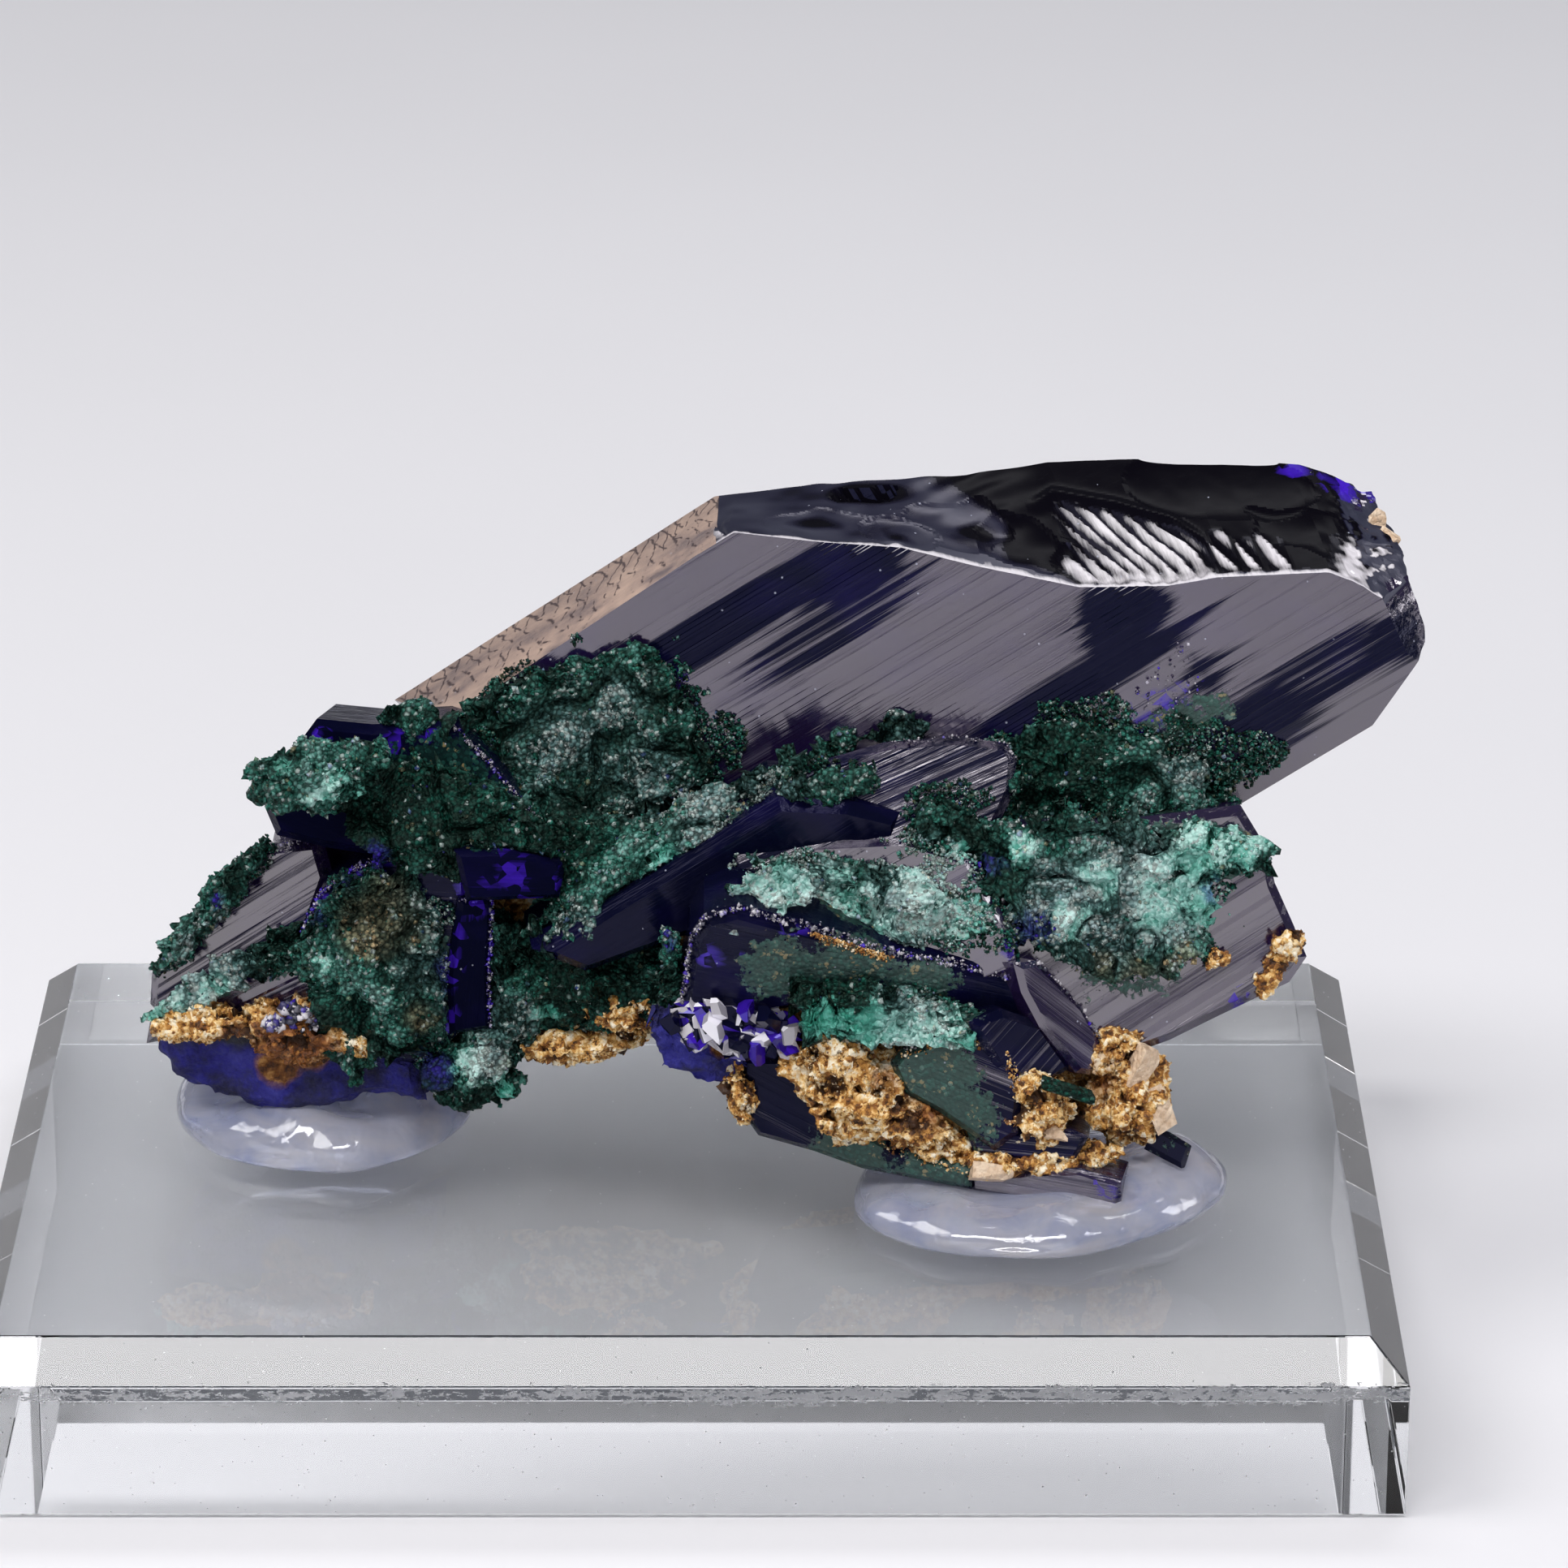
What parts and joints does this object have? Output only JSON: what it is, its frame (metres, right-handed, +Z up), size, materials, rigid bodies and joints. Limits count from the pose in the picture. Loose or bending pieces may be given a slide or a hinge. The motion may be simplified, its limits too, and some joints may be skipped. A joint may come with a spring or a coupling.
{
  "type": "azurite specimen",
  "caption": "Cluster of striated dark blue azurite blades with green malachite crust and ochre limonite, set in clear glue pads on a chamfered clear display block.",
  "frame": {"origin": "middle of the display block's underside", "axes": "+X along the block and the specimen, towards the free end of the large blade; +Y away from the side that the blades face; +Z up"},
  "size_m": [0.0781, 0.0508, 0.047],
  "materials": {
    "azurite": "glassy dark blue crystal faces with fine striations; velvety green malachite and earthy ochre limonite between them",
    "set_glue": "milky translucent bluish-white, glossy, softly rounded",
    "clear_acrylic": "clear polished acrylic with light scuffs on its front edge"
  },
  "bodies": {
    "root": {"azurite_specimen": "azurite", "glue_pad_left": "set_glue", "glue_pad_right": "set_glue", "display_block": "clear_acrylic"}
  },
  "joints": []
}
